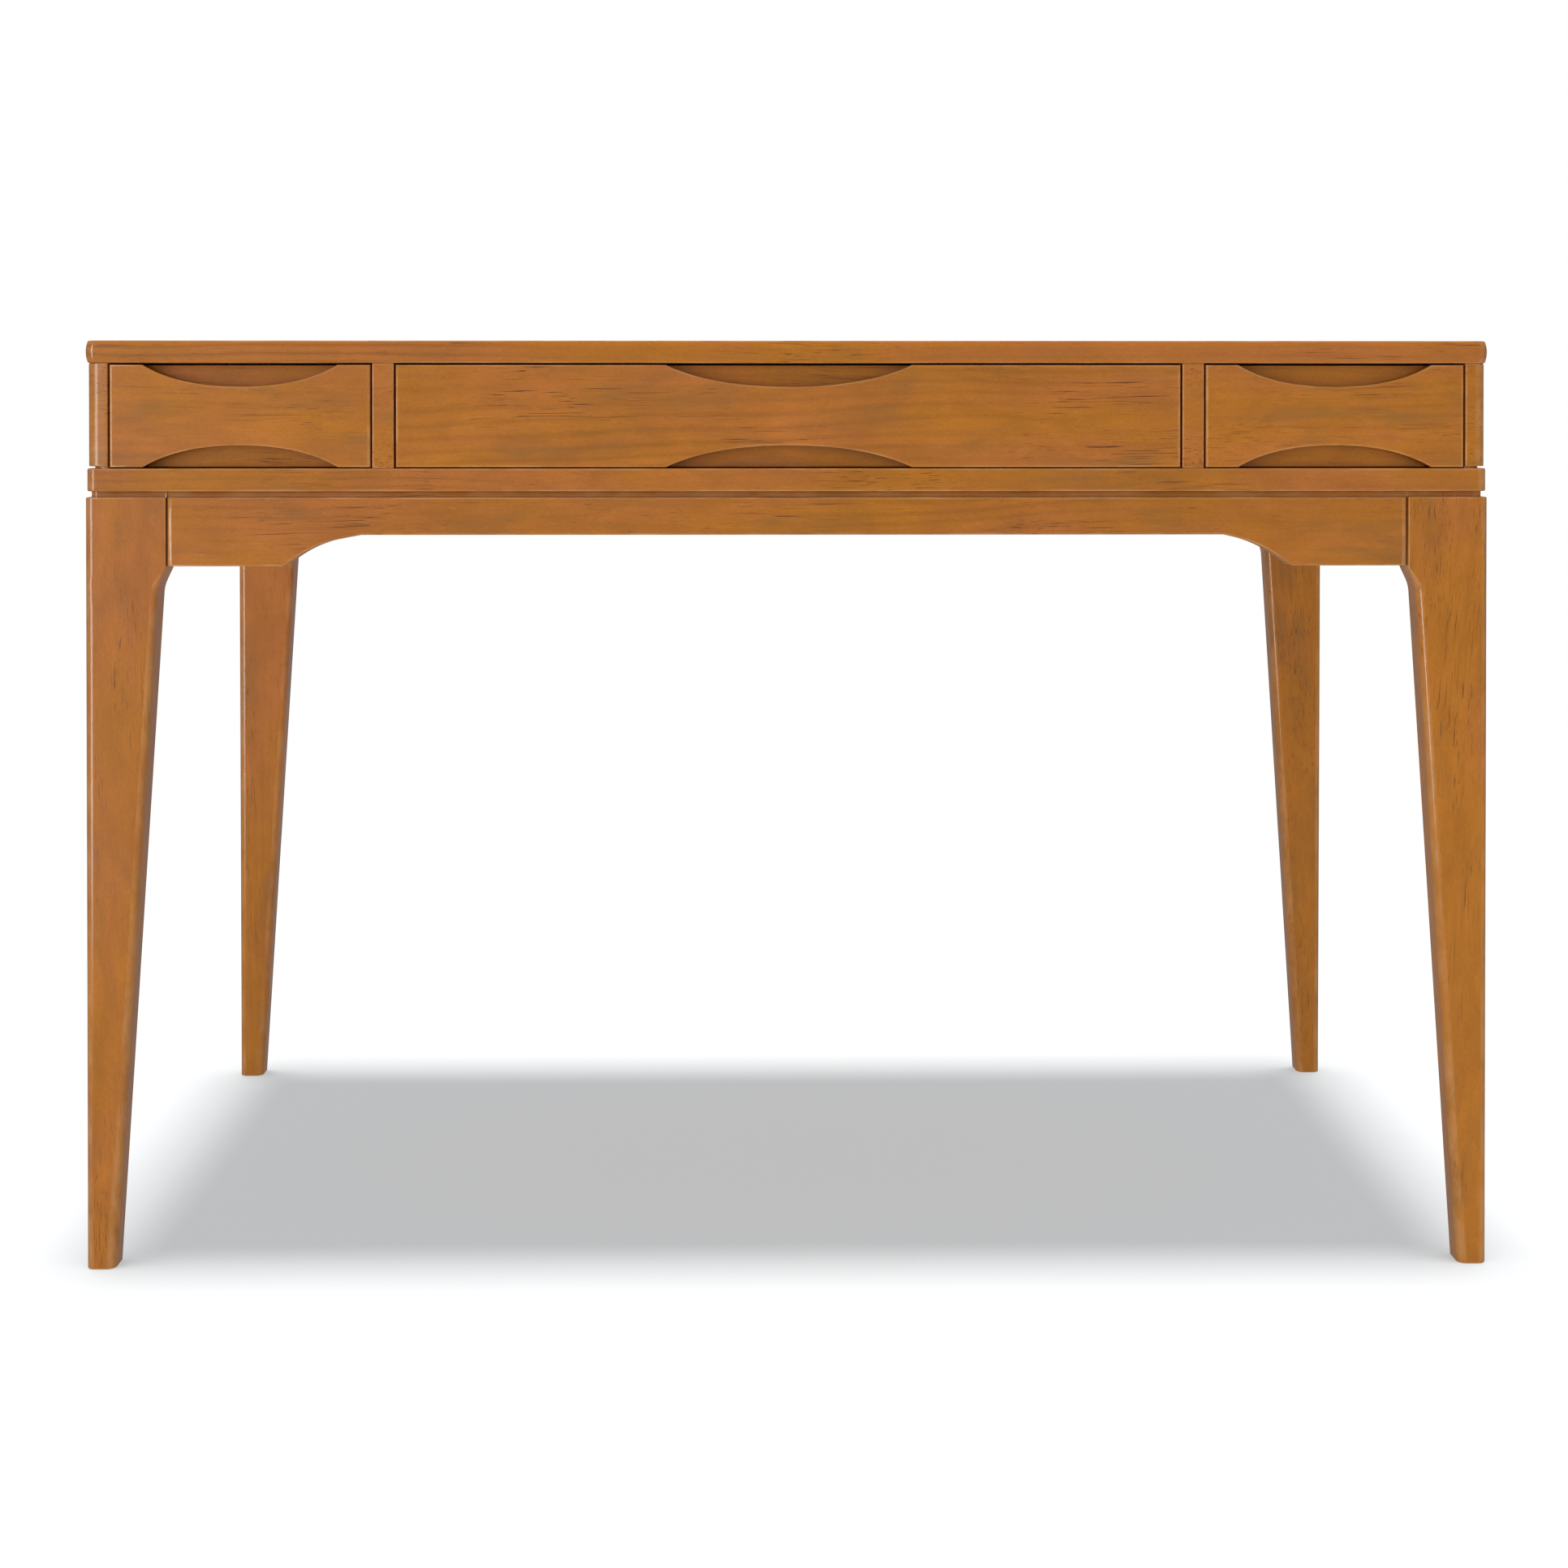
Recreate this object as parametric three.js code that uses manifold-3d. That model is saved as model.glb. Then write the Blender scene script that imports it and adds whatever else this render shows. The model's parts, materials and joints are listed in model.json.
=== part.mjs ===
// Writing desk with three drawers, built as separate wooden and steel pieces.
// Units are millimetres. X is the width, -Y is the front and +Z is up. The origin is on the
// floor, under the middle of the desk.
import * as THREE from "three";
import { mergeVertices } from "three/addons/utils/BufferGeometryUtils.js";
import Module from "manifold-3d";

// ---------------------------------------------------------------- driving dimensions
const deskWidth = 1194;
const deskDepth = 610;
const deskHeight = 789;
const topThickness = 19;
const topBulge = 1.5; // how far the edge of the top swells at its middle
const topCorner = 8;
const caseHeight = 89.5; // clear height between the top and the bottom board
const boardThickness = 19.5;
const boardCorner = 7.5;
const neckHeight = 5; // shadow gap between the bottom board and the legs
const neckFrontInset = 8.5;
const neckSideInset = 2.5;
const arris = 1.2; // small rounding of a sanded edge
const roundSteps = 4; // straight pieces in one rounded corner
const curveSteps = 12; // straight pieces in one stretch of a curved edge

const sideThickness = 17.75;
const sideInset = 2; // side panels stand back from the bulge of the top
const sideCorner = 9;
const sideGrooveHeight = 1.8;
const sideGrooveDepth = 4;
const dividerThickness = 18.5;
const dividerPlace = 344.5; // from the middle of the desk to the middle of a divider
const caseFront = 1.5; // the case front stands back from the bulge of the top
const backThickness = 17;

const legWidth = 68.5;
const legFootWidth = 24.5;
const legWaistWidth = 61.3; // just below the shoulder
const legThickness = 28.5;
const legFootThickness = 24;
const legInset = 0.25; // legs stand back from the bulge of the top
const shoulderTop = 595.5;
const shoulderBottom = 579.5;
const legOuterRound = 6.3;
const legWaistRound = 6.5;
const legFootRound = 7.5;
const legBackRound = 2; // the inner edge that faces the back of the desk

const apronThickness = 24;
const sideApronThickness = 22;
const apronEndHeight = 58.5;
const apronMiddleHeight = 32;
const apronInset = 1; // aprons stand back from the legs
const archEnd = 98.5; // from an end of an apron to the low corner of its arch
const archBendAcross = 29; // from the low corner of the arch to its bend
const archBendUp = 19.4;
const archLeft = 66.5; // from the low corner to the flat middle, left end of the front apron
const archRight = 58.5; // the same at the right end
const archStraight = 0.45; // share of each leg of the bend that stays straight
const jointGap = 0.3;

const frontThickness = 18;
const frontGapSide = 1.5;
const frontGapTop = 1.5;
const frontGapBottom = 1;
const gripDepth = 18.5;
const gripHalfSmall = 82.5;
const gripHalfLarge = 104.5;

const boxWall = 12;
const boxHeight = 82;
const boxLift = 4; // from the bottom board to the lower edge of a drawer box
const boxEnd = 190; // Y of the back of a drawer box
const boxBottomThickness = 5;
const boxBottomLift = 9;
const grooveDepth = 6;
const grooveSlack = 0.3;

const slideWidth = 12.7;
const slideLength = 450;
const slideStart = -270;
const slideHeight = 35;
const slideSheet = 1.2;
const ballRoom = 1.2;
const slideCentre = 725.5;

const bracketReach = 66; // from the corner of the aprons to the bend of a bracket
const bracketFlange = 29;
const bracketSheet = 2;
const bracketHeight = 40;
const bracketCentre = 629.5;
const bracketGap = 0.25;
const boltRadius = 3;
const boltClearance = 0.3;
const boltAlong = 21.5; // place of the bolt on the slanted plate
const boltIntoLeg = 45; // from the plate to the tip of the bolt
const boltOutside = 12; // from the plate to the free end of the bolt
const washerRadius = 7;
const washerSheet = 1.2;
const nutRadius = 5.8;
const nutHeight = 5;

// ---------------------------------------------------------------- heights and faces worked out
const topUnder = deskHeight - topThickness;
const boardTop = topUnder - caseHeight;
const boardUnder = boardTop - boardThickness;
const legTop = boardUnder - neckHeight;
const halfWidth = deskWidth / 2;
const halfDepth = deskDepth / 2;
const sideOuter = halfWidth - sideInset;
const sideInner = sideOuter - sideThickness;
const caseFace = halfDepth - caseFront;
const legOuter = halfWidth - legInset;
const legFace = halfDepth - legInset;
const apronFace = legFace - apronInset;
const sideApronOuter = legOuter - apronInset;
const sideApronInner = sideApronOuter - sideApronThickness;
const apronHalf = legOuter - legWidth - jointGap;
const sideApronHalf = legFace - legThickness - jointGap;
const dividerInner = dividerPlace - dividerThickness / 2;
const dividerOuter = dividerPlace + dividerThickness / 2;

// ---------------------------------------------------------------- materials
const stainedPine = new THREE.MeshStandardMaterial({ color: 0xa96a35, roughness: 0.42, metalness: 0 });
const paleWood = new THREE.MeshStandardMaterial({ color: 0xc9a271, roughness: 0.6, metalness: 0 });
const plywood = new THREE.MeshStandardMaterial({ color: 0xd2b488, roughness: 0.65, metalness: 0 });
const zincSteel = new THREE.MeshStandardMaterial({ color: 0xb4b7ba, roughness: 0.35, metalness: 1 });
const darkSteel = new THREE.MeshStandardMaterial({ color: 0x6c6e70, roughness: 0.45, metalness: 1 });

const desk = new THREE.Group();

function addPiece(name, geometry, material) {
  const mesh = new THREE.Mesh(geometry, material);
  mesh.name = name;
  desk.add(mesh);
  return mesh;
}

// ---------------------------------------------------------------- solids
function block(x0, x1, y0, y1, z0, z1) {
  const geometry = new THREE.BoxGeometry(x1 - x0, y1 - y0, z1 - z0);
  return geometry.translate((x0 + x1) / 2, (y0 + y1) / 2, (z0 + z1) / 2);
}

function shapeOf(points) {
  return new THREE.Shape(points.map(([a, b]) => new THREE.Vector2(a, b)));
}

// An outline drawn in X and Z, as thick as y0 to y1.
function plateAcross(shape, y0, y1) {
  const options = { depth: y1 - y0, bevelEnabled: false, curveSegments: curveSteps };
  const geometry = new THREE.ExtrudeGeometry(shape, options);
  return geometry.rotateX(Math.PI / 2).translate(0, y1, 0);
}

// An outline drawn in Y and Z, as thick as x0 to x1.
function plateAlong(shape, x0, x1) {
  const options = { depth: x1 - x0, bevelEnabled: false, curveSegments: curveSteps };
  const geometry = new THREE.ExtrudeGeometry(shape, options);
  const turn = new THREE.Matrix4().makeBasis(
    new THREE.Vector3(0, 1, 0),
    new THREE.Vector3(0, 0, 1),
    new THREE.Vector3(1, 0, 0),
  );
  return geometry.applyMatrix4(turn).translate(x0, 0, 0);
}

// A rectangle with its own radius at each corner, counter-clockwise from (x0, y0).
function roundedOutline(x0, x1, y0, y1, radii) {
  const corners = [
    [x0, y0, 1, 1, Math.PI],
    [x1, y0, -1, 1, 1.5 * Math.PI],
    [x1, y1, -1, -1, 0],
    [x0, y1, 1, -1, 0.5 * Math.PI],
  ];
  const points = [];
  corners.forEach(([x, y, signX, signY, start], index) => {
    const radius = radii[index];
    for (let step = 0; step <= roundSteps; step += 1) {
      const angle = start + (0.5 * Math.PI * step) / roundSteps;
      const px = x + radius * (signX + Math.cos(angle));
      const py = y + radius * (signY + Math.sin(angle));
      points.push(new THREE.Vector2(px, py));
    }
  });
  return points;
}

// A solid through outlines with equal numbers of points, one above the other.
function loft(levels) {
  const flip = THREE.ShapeUtils.isClockWise(levels[0].outline);
  const rings = levels.map(({ z, outline }) => {
    const ordered = flip ? [...outline].reverse() : outline;
    return ordered.map((point) => [point.x, point.y, z]);
  });
  const count = rings[0].length;
  const index = [];
  for (let level = 0; level < rings.length - 1; level += 1) {
    for (let i = 0; i < count; i += 1) {
      const a = level * count + i;
      const b = level * count + ((i + 1) % count);
      index.push(a, b, b + count, a, b + count, a + count);
    }
  }
  const floor = rings[0].map(([x, y]) => new THREE.Vector2(x, y));
  const roof = rings[rings.length - 1].map(([x, y]) => new THREE.Vector2(x, y));
  const last = (rings.length - 1) * count;
  THREE.ShapeUtils.triangulateShape(floor, []).forEach(([a, b, c]) => index.push(a, c, b));
  THREE.ShapeUtils.triangulateShape(roof, []).forEach(([a, b, c]) => {
    index.push(last + a, last + b, last + c);
  });
  const geometry = new THREE.BufferGeometry();
  geometry.setAttribute("position", new THREE.Float32BufferAttribute(rings.flat(2), 3));
  geometry.setIndex(index);
  return geometry;
}

const wasm = await Module();
wasm.setup();

function toSolid(geometry) {
  const bare = geometry.clone();
  bare.deleteAttribute("normal");
  bare.deleteAttribute("uv");
  const merged = mergeVertices(bare, 1e-4);
  const mesh = new wasm.Mesh({
    numProp: 3,
    vertProperties: new Float32Array(merged.attributes.position.array),
    triVerts: new Uint32Array(merged.index.array),
  });
  return new wasm.Manifold(mesh);
}

function fromSolid(solid) {
  const mesh = solid.getMesh();
  const geometry = new THREE.BufferGeometry();
  geometry.setAttribute("position", new THREE.BufferAttribute(mesh.vertProperties, 3));
  geometry.setIndex(new THREE.BufferAttribute(mesh.triVerts, 1));
  return geometry;
}

function cut(geometry, ...tools) {
  return fromSolid(tools.reduce((solid, tool) => solid.subtract(toSolid(tool)), toSolid(geometry)));
}

function join(geometry, ...others) {
  return fromSolid(others.reduce((solid, other) => solid.add(toSolid(other)), toSolid(geometry)));
}

// ---------------------------------------------------------------- top and case
function insetRectangle(halfX, halfY, inset, radius) {
  const radii = Array(4).fill(radius);
  return roundedOutline(-halfX + inset, halfX - inset, -halfY + inset, halfY - inset, radii);
}

function tabletop() {
  const heights = [arris, 0.3 * topThickness, 0.5 * topThickness, 0.7 * topThickness, topThickness - arris];
  const bulgeInset = (height) => topBulge * (2 * height / topThickness - 1) ** 2;
  const level = (height, inset) => ({
    z: topUnder + height,
    outline: insetRectangle(halfWidth, halfDepth, inset, topCorner),
  });
  const edges = heights.map((height) => level(height, bulgeInset(height)));
  return loft([level(0, topBulge + arris), ...edges, level(topThickness, topBulge + arris)]);
}

function bottomBoard() {
  const halfX = halfWidth - 1;
  const halfY = halfDepth - 1;
  const level = (z, inset) => ({ z, outline: insetRectangle(halfX, halfY, inset, boardCorner) });
  return loft([
    level(boardUnder, arris),
    level(boardUnder + arris, 0),
    level(boardTop - arris, 0),
    level(boardTop, arris),
  ]);
}

// A side panel with rounded outer corners and a shadow groove above the bottom board.
function sidePanel(side) {
  const outline = (inset) => {
    const radii = [sideCorner, arris, arris, sideCorner];
    const end = caseFace - inset;
    const points = roundedOutline(-sideOuter + inset, -sideInner, -end, end, radii);
    return points.map((point) => new THREE.Vector2(-side * point.x, point.y));
  };
  return loft([
    { z: boardTop, outline: outline(sideGrooveDepth) },
    { z: boardTop + sideGrooveHeight, outline: outline(sideGrooveDepth) },
    { z: boardTop + sideGrooveHeight, outline: outline(0) },
    { z: topUnder - arris, outline: outline(0) },
    { z: topUnder, outline: outline(arris) },
  ]);
}

function divider(side) {
  const centre = side * dividerPlace;
  const half = dividerThickness / 2;
  return block(centre - half, centre + half, -caseFace, caseFace - backThickness, boardTop, topUnder);
}

function caseBack() {
  return block(-sideInner, sideInner, caseFace - backThickness, caseFace, boardTop, topUnder);
}

// ---------------------------------------------------------------- legs and aprons
// A leg in its own corner: side is -1 left or 1 right, end is -1 front or 1 rear.
function legOutline(side, end, inX, inY, width, thickness, outerRound, innerRound) {
  const backRound = Math.min(innerRound, legBackRound);
  const inner = end < 0 ? [innerRound, backRound] : [backRound, innerRound];
  const radii = [outerRound, ...inner, outerRound];
  const points = roundedOutline(inX, width, inY, thickness, radii);
  return points.map((point) => new THREE.Vector2(side * (legOuter - point.x), end * (legFace - point.y)));
}

function boltPlace(side, end) {
  const across = sideApronInner - (bracketReach - boltAlong);
  const along = apronFace - apronThickness - boltAlong;
  return new THREE.Vector3(side * across, end * along, bracketCentre);
}

function boltDirection(side, end) {
  return new THREE.Vector3(-side, -end, 0).normalize();
}

function boltHole(side, end) {
  const radius = boltRadius + boltClearance;
  const geometry = new THREE.CylinderGeometry(radius, radius, 2 * boltIntoLeg + 2, 16);
  const upright = new THREE.Vector3(0, 1, 0);
  const turn = new THREE.Quaternion().setFromUnitVectors(upright, boltDirection(side, end));
  const place = boltPlace(side, end);
  return geometry.applyQuaternion(turn).translate(place.x, place.y, place.z);
}

function leg(side, end) {
  const level = (z, inX, inY, width, thickness, innerRound) => ({
    z,
    outline: legOutline(side, end, inX, inY, width, thickness, legOuterRound, innerRound),
  });
  const body = loft([
    level(0, arris, arris, legFootWidth - arris, legFootThickness - arris, legFootRound),
    level(arris, 0, 0, legFootWidth, legFootThickness, legFootRound),
    level(shoulderBottom, 0, 0, legWaistWidth, legThickness, legWaistRound),
    level(shoulderTop, 0, 0, legWidth, legThickness, arris),
    level(legTop, 0, 0, legWidth, legThickness, arris),
    level(legTop, neckSideInset, neckFrontInset, legWidth, legThickness, arris),
    level(boardUnder, neckSideInset, neckFrontInset, legWidth, legThickness, arris),
  ]);
  return cut(body, boltHole(side, end));
}

// One end of an apron's lower edge, from the low corner to the flat middle: straight, bent,
// straight. The points run inwards. direction is 1 for the end at negative values, else -1.
function archPoints(half, direction, run) {
  const low = legTop - apronEndHeight;
  const high = legTop - apronMiddleHeight;
  const corner = new THREE.Vector2(-half + archEnd, low);
  const bend = new THREE.Vector2(corner.x + archBendAcross, low + archBendUp);
  const finish = new THREE.Vector2(corner.x + run, high);
  const before = corner.clone().lerp(bend, archStraight);
  const after = finish.clone().lerp(bend, archStraight);
  const curve = new THREE.QuadraticBezierCurve(before, bend, after);
  return [corner, ...curve.getPoints(curveSteps), finish].map((point) => [direction * point.x, point.y]);
}

function apronShape(half, runLeft, runRight) {
  const low = legTop - apronEndHeight;
  const left = archPoints(half, 1, runLeft);
  const right = archPoints(half, -1, runRight).reverse();
  return shapeOf([[-half, boardUnder], [-half, low], ...left, ...right, [half, low], [half, boardUnder]]);
}

function frontApron(end, runLeft, runRight) {
  const shape = apronShape(apronHalf, runLeft, runRight);
  const plate = plateAcross(shape, -apronFace, -apronFace + apronThickness);
  const neck = legFace - neckFrontInset;
  const rebate = block(-halfWidth, halfWidth, -halfDepth, -neck, legTop, deskHeight);
  const apron = cut(plate, rebate);
  return end < 0 ? apron : apron.rotateZ(Math.PI);
}

function sideApron(side) {
  const shape = apronShape(sideApronHalf, archLeft, archLeft);
  const plate = plateAlong(shape, sideApronInner, sideApronOuter);
  const neck = legOuter - neckSideInset;
  const rebate = block(neck, halfWidth, -halfDepth, halfDepth, legTop, deskHeight);
  const apron = cut(plate, rebate);
  return side > 0 ? apron : apron.rotateZ(Math.PI);
}

// A bent steel plate across the inner corner of two aprons.
function cornerBracket(side, end) {
  const flangeEnd = bracketReach + bracketFlange;
  const slant = bracketSheet * (Math.SQRT2 - 1);
  const outline = [
    [bracketGap, flangeEnd],
    [bracketGap, bracketReach],
    [bracketReach, bracketGap],
    [flangeEnd, bracketGap],
    [flangeEnd, bracketGap + bracketSheet],
    [bracketReach + slant, bracketGap + bracketSheet],
    [bracketGap + bracketSheet, bracketReach + slant],
    [bracketGap + bracketSheet, flangeEnd],
  ];
  const inPlace = ([u, v]) => {
    const x = side * (sideApronInner - u);
    const y = end * (apronFace - apronThickness - v);
    return new THREE.Vector2(x, y);
  };
  const placed = outline.map(inPlace);
  const plate = loft([
    { z: bracketCentre - bracketHeight / 2, outline: placed },
    { z: bracketCentre + bracketHeight / 2, outline: placed },
  ]);
  return cut(plate, boltHole(side, end));
}

// A bolt with its washer and nut, along +Z, with its origin on the slanted plate.
function legBolt() {
  const thread = new THREE.CylinderGeometry(boltRadius, boltRadius, boltIntoLeg + boltOutside, 16);
  const washer = new THREE.CylinderGeometry(washerRadius, washerRadius, washerSheet, 24);
  const nut = new THREE.CylinderGeometry(nutRadius, nutRadius, nutHeight, 6);
  const plateOutside = bracketSheet + 2 * bracketGap;
  thread.translate(0, (boltOutside - boltIntoLeg) / 2, 0);
  washer.translate(0, plateOutside + washerSheet / 2, 0);
  nut.translate(0, plateOutside + washerSheet + nutHeight / 2 - 0.1, 0);
  return join(thread, washer, nut).rotateX(Math.PI / 2);
}

// ---------------------------------------------------------------- drawers
// A finger grip is a shallow scoop in an edge, steep at its ends and flat in the middle.
function gripCurve(path, centre, edge, half, depth, direction) {
  const tip = edge - depth;
  const at = (share) => centre + direction * share * half;
  path.lineTo(at(-1), edge);
  path.bezierCurveTo(at(-0.75), edge - 0.67 * depth, at(-0.41), tip, at(0), tip);
  path.bezierCurveTo(at(0.41), tip, at(0.75), edge - 0.67 * depth, at(1), edge);
}

function drawerFront(opening, gripHalf) {
  const x0 = opening.left + frontGapSide;
  const x1 = opening.right - frontGapSide;
  const z0 = boardTop + frontGapBottom;
  const z1 = topUnder - frontGapTop;
  const centre = (x0 + x1) / 2;
  const shape = new THREE.Shape();
  shape.moveTo(x0, z0);
  gripCurve(shape, centre, z0, gripHalf, -gripDepth, 1);
  shape.lineTo(x1, z0);
  shape.lineTo(x1, z1);
  gripCurve(shape, centre, z1, gripHalf, gripDepth, -1);
  shape.lineTo(x0, z1);
  shape.closePath();
  return plateAcross(shape, -caseFace, -caseFace + frontThickness);
}

const boxLow = boardTop + boxLift;
const boxHigh = boxLow + boxHeight;
const boxStart = -caseFace + frontThickness + jointGap;
const grooveLow = boxLow + boxBottomLift;
const grooveHigh = grooveLow + boxBottomThickness + 2 * grooveSlack;

// The section of a box wall, with a groove in its inner face for the bottom panel.
function grooveSection(outer, inner, low, high) {
  const towards = Math.sign(outer - inner) * grooveDepth;
  const points = [
    [outer, low],
    [inner, low],
    [inner, grooveLow],
    [inner + towards, grooveLow],
    [inner + towards, grooveHigh],
    [inner, grooveHigh],
    [inner, high],
    [outer, high],
  ];
  return shapeOf(points);
}

function addDrawer(name, opening, gripHalf) {
  const boxLeft = opening.left + slideWidth + jointGap;
  const boxRight = opening.right - slideWidth - jointGap;
  const sidesFrom = boxStart + boxWall;
  const innerLeft = boxLeft + boxWall;
  const innerRight = boxRight - boxWall;
  const bottomSide = grooveDepth - grooveSlack;
  const sideSection = (outer, inner) => grooveSection(outer, inner, boxLow, boxHigh);
  addPiece(`drawer_${name}_front`, drawerFront(opening, gripHalf), stainedPine);
  const frontLow = boardTop + frontGapBottom; // the wall behind the grips is as tall as the front
  const frontHigh = topUnder - frontGapTop;
  const frontSection = grooveSection(boxStart, sidesFrom, frontLow, frontHigh);
  const frontWall = plateAlong(frontSection, boxLeft, boxRight);
  addPiece(`drawer_${name}_box_front`, frontWall, stainedPine);
  const leftWall = plateAcross(sideSection(boxLeft, innerLeft), sidesFrom, boxEnd);
  addPiece(`drawer_${name}_box_side_left`, leftWall, paleWood);
  const rightWall = plateAcross(sideSection(boxRight, innerRight), sidesFrom, boxEnd);
  addPiece(`drawer_${name}_box_side_right`, rightWall, paleWood);
  const backWall = block(innerLeft, innerRight, boxEnd - boxWall, boxEnd, grooveHigh, boxHigh);
  addPiece(`drawer_${name}_box_back`, backWall, paleWood);
  const panelLow = grooveLow + grooveSlack;
  const panel = block(
    innerLeft - bottomSide,
    innerRight + bottomSide,
    sidesFrom - bottomSide,
    boxEnd,
    panelLow,
    panelLow + boxBottomThickness,
  );
  addPiece(`drawer_${name}_box_bottom`, panel, plywood);
}

// ---------------------------------------------------------------- drawer slides
// A channel section, measured from the case wall towards the drawer. The web is the flat
// back of the channel and the tip is where its two flanges end.
function channel(web, tip, halfHeight) {
  const inner = web + Math.sign(tip - web) * slideSheet;
  const flange = halfHeight - slideSheet;
  return [
    [web, -halfHeight],
    [tip, -halfHeight],
    [tip, -flange],
    [inner, -flange],
    [inner, flange],
    [tip, flange],
    [tip, halfHeight],
    [web, halfHeight],
  ];
}

// Each rail runs inside the one before it, with room for a row of balls between them.
const railHalf = slideHeight / 2;
const railStep = slideSheet + ballRoom;
const slideMembers = [
  { part: "case_rail", section: channel(0, 10.5, railHalf), material: zincSteel },
  { part: "middle_rail", section: channel(2.4, 11.3, railHalf - railStep), material: darkSteel },
  { part: "drawer_rail", section: channel(slideWidth, 5.2, railHalf - 2 * railStep), material: zincSteel },
];

function addSlides(name, opening) {
  const walls = [
    { side: "left", wall: opening.left, direction: 1 },
    { side: "right", wall: opening.right, direction: -1 },
  ];
  walls.forEach(({ side, wall, direction }) => {
    slideMembers.forEach(({ part, section, material }) => {
      const placed = section.map(([across, up]) => [wall + direction * across, slideCentre + up]);
      const rail = plateAcross(shapeOf(placed), slideStart, slideStart + slideLength);
      addPiece(`drawer_${name}_${part}_${side}`, rail, material);
    });
  });
}

// ---------------------------------------------------------------- assembly
const sides = [
  { name: "left", sign: -1 },
  { name: "right", sign: 1 },
];
const ends = [
  { name: "front", sign: -1 },
  { name: "rear", sign: 1 },
];

addPiece("tabletop", tabletop(), stainedPine);
addPiece("case_bottom", bottomBoard(), stainedPine);
addPiece("case_back", caseBack(), stainedPine);
sides.forEach((side) => {
  addPiece(`case_side_${side.name}`, sidePanel(side.sign), stainedPine);
  addPiece(`case_divider_${side.name}`, divider(side.sign), stainedPine);
  addPiece(`apron_${side.name}`, sideApron(side.sign), stainedPine);
});
addPiece("apron_front", frontApron(-1, archLeft, archRight), stainedPine);
addPiece("apron_rear", frontApron(1, archLeft, archLeft), stainedPine);

ends.forEach((end) => {
  sides.forEach((side) => {
    const corner = `${end.name}_${side.name}`;
    addPiece(`leg_${corner}`, leg(side.sign, end.sign), stainedPine);
    addPiece(`corner_bracket_${corner}`, cornerBracket(side.sign, end.sign), zincSteel);
    const bolt = addPiece(`leg_bolt_${corner}`, legBolt(), darkSteel);
    bolt.position.copy(boltPlace(side.sign, end.sign));
    bolt.quaternion.setFromUnitVectors(new THREE.Vector3(0, 0, 1), boltDirection(side.sign, end.sign));
  });
});

const drawers = [
  { name: "left", opening: { left: -sideInner, right: -dividerOuter }, gripHalf: gripHalfSmall },
  { name: "centre", opening: { left: -dividerInner, right: dividerInner }, gripHalf: gripHalfLarge },
  { name: "right", opening: { left: dividerOuter, right: sideInner }, gripHalf: gripHalfSmall },
];
drawers.forEach(({ name, opening, gripHalf }) => {
  addDrawer(name, opening, gripHalf);
  addSlides(name, opening);
});

export default desk;
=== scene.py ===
import json
import math
import random

import bmesh
import bpy
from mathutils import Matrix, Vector

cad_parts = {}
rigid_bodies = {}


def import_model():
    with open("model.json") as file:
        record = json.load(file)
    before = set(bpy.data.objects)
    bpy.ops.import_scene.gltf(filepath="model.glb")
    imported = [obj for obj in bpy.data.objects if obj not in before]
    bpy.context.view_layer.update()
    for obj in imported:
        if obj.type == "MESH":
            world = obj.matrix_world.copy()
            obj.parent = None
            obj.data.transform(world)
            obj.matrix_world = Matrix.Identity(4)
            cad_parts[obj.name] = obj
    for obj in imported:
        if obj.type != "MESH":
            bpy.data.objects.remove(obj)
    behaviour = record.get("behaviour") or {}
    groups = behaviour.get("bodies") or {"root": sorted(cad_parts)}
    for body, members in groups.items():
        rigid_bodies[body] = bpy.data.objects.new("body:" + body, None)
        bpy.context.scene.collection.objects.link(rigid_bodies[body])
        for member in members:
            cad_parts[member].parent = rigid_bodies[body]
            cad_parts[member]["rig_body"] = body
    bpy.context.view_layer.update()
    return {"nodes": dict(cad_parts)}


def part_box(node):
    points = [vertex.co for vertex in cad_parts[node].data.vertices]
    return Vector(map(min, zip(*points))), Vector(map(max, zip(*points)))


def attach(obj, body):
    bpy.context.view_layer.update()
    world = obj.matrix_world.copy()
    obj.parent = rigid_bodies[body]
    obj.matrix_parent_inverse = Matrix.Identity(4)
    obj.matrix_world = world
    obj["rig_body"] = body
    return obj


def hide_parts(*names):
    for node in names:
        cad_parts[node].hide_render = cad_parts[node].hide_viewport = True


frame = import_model()

# Looks for a writing desk with three drawers. Everything is in metres, in the frame of the
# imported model: X is the width, -Y is the front and +Z is up.

MM = 0.001
random.seed(20)


def mm(value):
    """Millimetres as metres."""
    return value * MM


# ---------------------------------------------------------------- driving dimensions
TOP_BULGE = mm(1.5)
TOP_CORNER = mm(8)
TOP_STAVE = mm(96)
BOARD_CORNER = mm(7.5)
BOARD_STAVE = mm(88)
ARRIS = mm(1.2)
PANEL_EDGE = mm(0.8)

SIDE_CORNER = mm(9)
SIDE_GROOVE_HEIGHT = mm(1.8)
SIDE_GROOVE_DEPTH = mm(4)

LEG_WIDTH = mm(68.5)
LEG_THICKNESS = mm(28.5)
LEG_FOOT_WIDTH = mm(24.5)
LEG_FOOT_THICKNESS = mm(24)
LEG_WAIST_WIDTH = mm(61.3)
LEG_OUTER_ROUND = mm(6.3)
LEG_WAIST_ROUND = mm(6.5)
LEG_FOOT_ROUND = mm(7.5)
LEG_BACK_ROUND = mm(2)
SHOULDER_TOP = mm(595.5)
SHOULDER_BOTTOM = mm(579.5)
NECK_HEIGHT = mm(5)
NECK_FRONT_INSET = mm(8.5)
NECK_SIDE_INSET = mm(2.5)
LEG_TOP_EDGE = mm(0.9)
WAIST_EASE = mm(5)

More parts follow.
